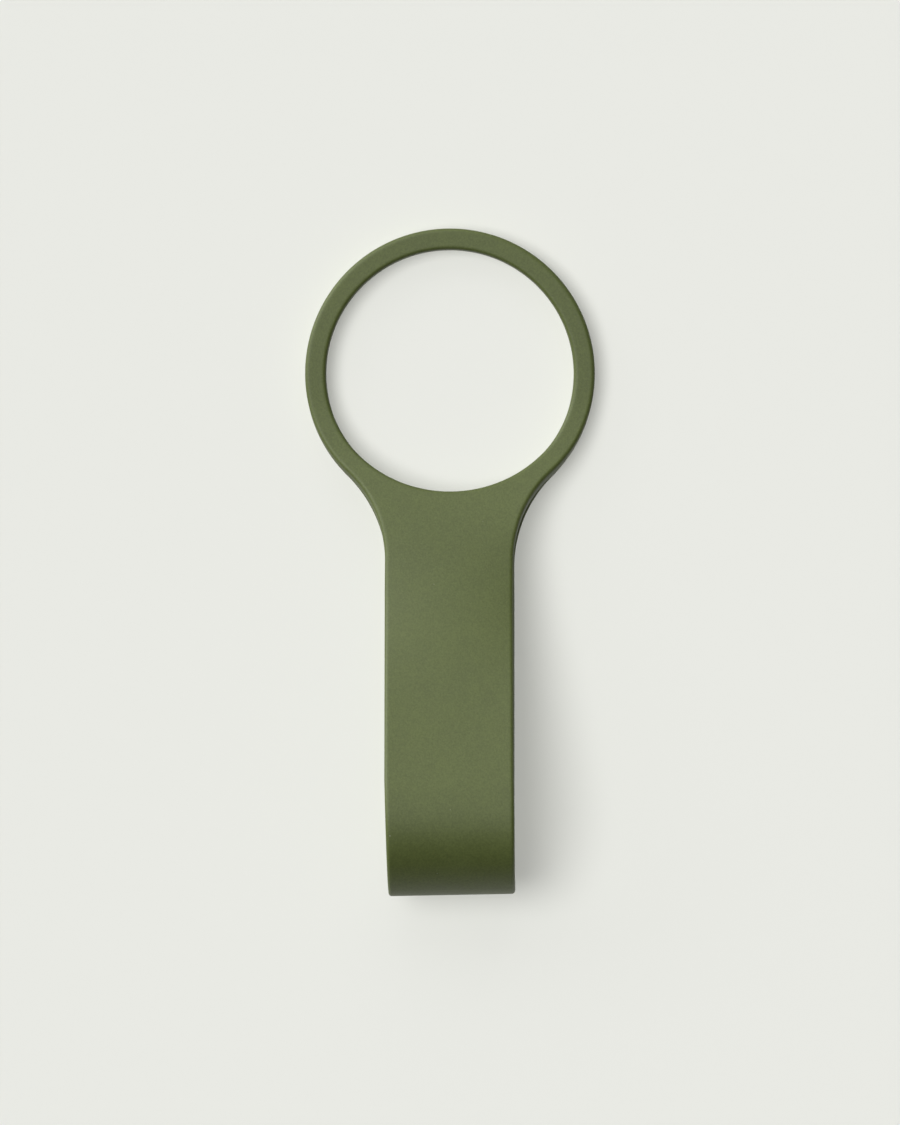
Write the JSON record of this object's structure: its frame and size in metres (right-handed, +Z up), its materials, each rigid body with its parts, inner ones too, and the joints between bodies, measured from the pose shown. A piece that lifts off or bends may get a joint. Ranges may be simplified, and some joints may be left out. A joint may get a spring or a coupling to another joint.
{
  "type": "jar lifter",
  "caption": "Flexible strap with a ring at each end, folded into a carrying loop; both rings lie on each other and grip a jar neck.",
  "frame": {"origin": "middle of the object's box in X and Y, on the surface that it lies on", "axes": "+Z up; +X across the strap; the rings lie towards +Y and the folded loop towards -Y"},
  "size_m": [0.0772, 0.177, 0.0405],
  "materials": {
    "silicone": "matt moulded silicone, olive green"
  },
  "bodies": {
    "lower_strap_1": {"lower_strap_1": "silicone"},
    "loop_1": {"loop_1": "silicone"},
    "loop_2": {"loop_2": "silicone"},
    "loop_3": {"loop_3": "silicone"},
    "loop_4": {"loop_4": "silicone"},
    "loop_5": {"loop_5": "silicone"},
    "loop_6": {"loop_6": "silicone"},
    "loop_7": {"loop_7": "silicone"},
    "loop_8": {"loop_8": "silicone"},
    "upper_strap_1": {"upper_strap_1": "silicone"},
    "upper_strap_2": {"upper_strap_2": "silicone"},
    "upper_strap_3": {"upper_strap_3": "silicone"},
    "upper_strap_4": {"upper_strap_4": "silicone"},
    "upper_ring": {"upper_ring": "silicone"},
    "lower_strap_2": {"lower_strap_2": "silicone"},
    "lower_strap_3": {"lower_strap_3": "silicone"},
    "lower_strap_4": {"lower_strap_4": "silicone"},
    "lower_ring": {"lower_ring": "silicone"}
  },
  "joints": [
    {"name": "loop_bend_1", "type": "hinge", "parent": "lower_strap_1", "child": "loop_1", "pos_m": [0, -0.06317, 0.002], "axis": [1, 0, 0], "range_deg": [0, 6.29], "stiffness_Nm_per_rad": 0.0884},
    {"name": "loop_bend_2", "type": "hinge", "parent": "loop_1", "child": "loop_2", "pos_m": [0, -0.07211, 0.0032], "axis": [1, 0, 0], "range_deg": [0, 20.71], "stiffness_Nm_per_rad": 0.0442},
    {"name": "loop_bend_3", "type": "hinge", "parent": "loop_2", "child": "loop_3", "pos_m": [0, -0.08005, 0.00741], "axis": [1, 0, 0], "range_deg": [0, 26.55], "stiffness_Nm_per_rad": 0.0442},
    {"name": "loop_bend_4", "type": "hinge", "parent": "loop_3", "child": "loop_4", "pos_m": [0, -0.08531, 0.01466], "axis": [1, 0, 0], "range_deg": [0, 30.06], "stiffness_Nm_per_rad": 0.0442},
    {"name": "loop_bend_5", "type": "hinge", "parent": "loop_4", "child": "loop_5", "pos_m": [0, -0.0863, 0.02355], "axis": [1, 0, 0], "range_deg": [0, 31.18], "stiffness_Nm_per_rad": 0.0442},
    {"name": "loop_bend_6", "type": "hinge", "parent": "loop_5", "child": "loop_6", "pos_m": [0, -0.08261, 0.03169], "axis": [1, 0, 0], "range_deg": [0, 30.06], "stiffness_Nm_per_rad": 0.0442},
    {"name": "loop_bend_7", "type": "hinge", "parent": "loop_6", "child": "loop_7", "pos_m": [0, -0.07537, 0.03696], "axis": [1, 0, 0], "range_deg": [0, 26.55], "stiffness_Nm_per_rad": 0.0442},
    {"name": "loop_bend_8", "type": "hinge", "parent": "loop_7", "child": "loop_8", "pos_m": [0, -0.06652, 0.03852], "axis": [1, 0, 0], "range_deg": [0, 20.71], "stiffness_Nm_per_rad": 0.0442},
    {"name": "loop_bend_9", "type": "hinge", "parent": "loop_8", "child": "upper_strap_1", "pos_m": [0, -0.05765, 0.03689], "axis": [1, 0, 0], "range_deg": [0, 6.29], "stiffness_Nm_per_rad": 0.0884},
    {"name": "upper_strap_bend_1", "type": "hinge", "parent": "upper_strap_1", "child": "upper_strap_2", "pos_m": [0, -0.04116, 0.03154], "axis": [1, 0, 0], "range_deg": [0, 25], "stiffness_Nm_per_rad": 0.0231},
    {"name": "upper_strap_bend_2", "type": "hinge", "parent": "upper_strap_2", "child": "upper_strap_3", "pos_m": [0, -0.02467, 0.02618], "axis": [1, 0, 0], "range_deg": [0, 25], "stiffness_Nm_per_rad": 0.0231},
    {"name": "upper_strap_bend_3", "type": "hinge", "parent": "upper_strap_3", "child": "upper_strap_4", "pos_m": [0, -0.00814, 0.02098], "axis": [1, 0, 0], "range_deg": [0, 25], "stiffness_Nm_per_rad": 0.0231},
    {"name": "upper_neck_bend", "type": "hinge", "parent": "upper_strap_4", "child": "upper_ring", "pos_m": [0, 0.00861, 0.01651], "axis": [1, 0, 0], "range_deg": [0, 50], "stiffness_Nm_per_rad": 0.0185},
    {"name": "lower_strap_bend_1", "type": "hinge", "parent": "lower_strap_1", "child": "lower_strap_2", "pos_m": [0, -0.04565, 0.002], "axis": [-1, 0, 0], "range_deg": [0, 25], "stiffness_Nm_per_rad": 0.0231},
    {"name": "lower_strap_bend_2", "type": "hinge", "parent": "lower_strap_2", "child": "lower_strap_3", "pos_m": [0, -0.02813, 0.002], "axis": [-1, 0, 0], "range_deg": [0, 25], "stiffness_Nm_per_rad": 0.0231},
    {"name": "lower_strap_bend_3", "type": "hinge", "parent": "lower_strap_3", "child": "lower_strap_4", "pos_m": [0, -0.01061, 0.002], "axis": [-1, 0, 0], "range_deg": [0, 25], "stiffness_Nm_per_rad": 0.0231},
    {"name": "lower_neck_bend", "type": "hinge", "parent": "lower_strap_4", "child": "lower_ring", "pos_m": [0, 0.00691, 0.002], "axis": [-1, 0, 0], "range_deg": [0, 50], "stiffness_Nm_per_rad": 0.0185}
  ],
  "couplings": [
    {"joint": "loop_bend_1", "follows": "loop_bend_5", "ratio": 0.2},
    {"joint": "loop_bend_2", "follows": "loop_bend_5", "ratio": 0.6625},
    {"joint": "loop_bend_3", "follows": "loop_bend_5", "ratio": 0.85},
    {"joint": "loop_bend_4", "follows": "loop_bend_5", "ratio": 0.9625},
    {"joint": "loop_bend_6", "follows": "loop_bend_5", "ratio": 0.9625},
    {"joint": "loop_bend_7", "follows": "loop_bend_5", "ratio": 0.85},
    {"joint": "loop_bend_8", "follows": "loop_bend_5", "ratio": 0.6625},
    {"joint": "loop_bend_9", "follows": "loop_bend_5", "ratio": 0.2},
    {"joint": "upper_strap_bend_2", "follows": "upper_strap_bend_1", "ratio": 1},
    {"joint": "upper_strap_bend_3", "follows": "upper_strap_bend_1", "ratio": 1},
    {"joint": "lower_strap_bend_2", "follows": "lower_strap_bend_1", "ratio": 1},
    {"joint": "lower_strap_bend_3", "follows": "lower_strap_bend_1", "ratio": 1}
  ]
}
